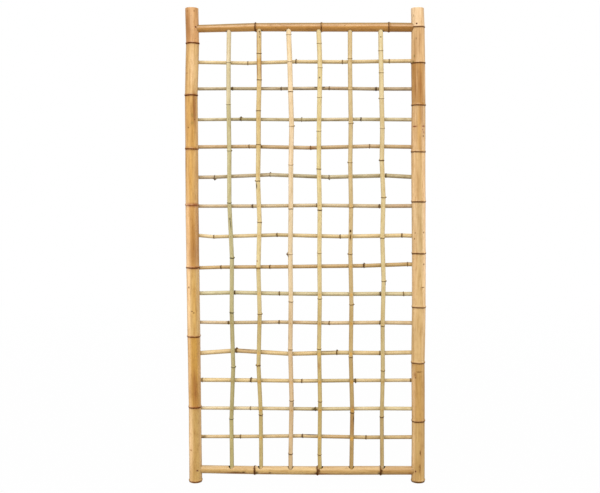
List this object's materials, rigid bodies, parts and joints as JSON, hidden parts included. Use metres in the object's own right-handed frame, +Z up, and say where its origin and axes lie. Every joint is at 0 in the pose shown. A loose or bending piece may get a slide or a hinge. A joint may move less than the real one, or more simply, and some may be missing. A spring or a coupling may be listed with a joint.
{
  "type": "bamboo garden trellis",
  "caption": "Free-standing bamboo trellis panel: two thick posts pinned to a top and a bottom rail, with a lattice of thin upright and cross canes.",
  "frame": {"origin": "on the ground, midway between the posts, at the middle of their thickness", "axes": "+X to the right of someone who faces the trellis, +Y away from them, +Z up"},
  "size_m": [0.9205, 0.058, 1.8],
  "materials": {
    "left_post_bamboo": "dried bamboo skin, semi-gloss, orange brown at the top and golden below",
    "right_post_bamboo": "dried bamboo skin, semi-gloss, golden with a cream top",
    "top_rail_bamboo": "dried bamboo skin, semi-gloss, brown",
    "bottom_rail_bamboo": "dried bamboo skin, semi-gloss, tan with dark mould marks underneath",
    "greenish_straw_cane": "thin dried cane, satin",
    "straw_cane": "thin dried cane, satin",
    "peach_cane": "thin dried cane, satin",
    "yellow_cane": "thin dried cane, satin",
    "khaki_cane": "thin dried cane, satin",
    "cream_cane": "thin dried cane, satin",
    "weathered_brown_cane": "thin weathered cane, matt, with dark knots",
    "olive_grey_cane": "thin weathered cane, matt",
    "tan_cane": "thin dried cane, satin",
    "orange_brown_cane": "thin dried cane, satin",
    "grey_straw_cane": "thin dried cane, satin",
    "nail_steel": "weathered steel nail head"
  },
  "bodies": {
    "root": {"left_post": "left_post_bamboo", "right_post": "right_post_bamboo", "top_rail": "top_rail_bamboo", "bottom_rail": "bottom_rail_bamboo", "upright_cane_1": "greenish_straw_cane", "upright_cane_2": "straw_cane", "upright_cane_3": "peach_cane", "upright_cane_4": "yellow_cane", "upright_cane_5": "khaki_cane", "upright_cane_6": "cream_cane", "cross_cane_01": "straw_cane", "cross_cane_02": "weathered_brown_cane", "cross_cane_03": "olive_grey_cane", "cross_cane_04": "tan_cane", "cross_cane_05": "olive_grey_cane", "cross_cane_06": "tan_cane", "cross_cane_07": "straw_cane", "cross_cane_08": "orange_brown_cane", "cross_cane_09": "grey_straw_cane", "cross_cane_10": "tan_cane", "cross_cane_11": "straw_cane", "cross_cane_12": "straw_cane", "cross_cane_13": "grey_straw_cane", "cross_cane_14": "tan_cane", "nail_top_left": "nail_steel", "nail_top_right": "nail_steel", "nail_bottom_left": "nail_steel", "nail_bottom_right": "nail_steel"}
  },
  "joints": []
}
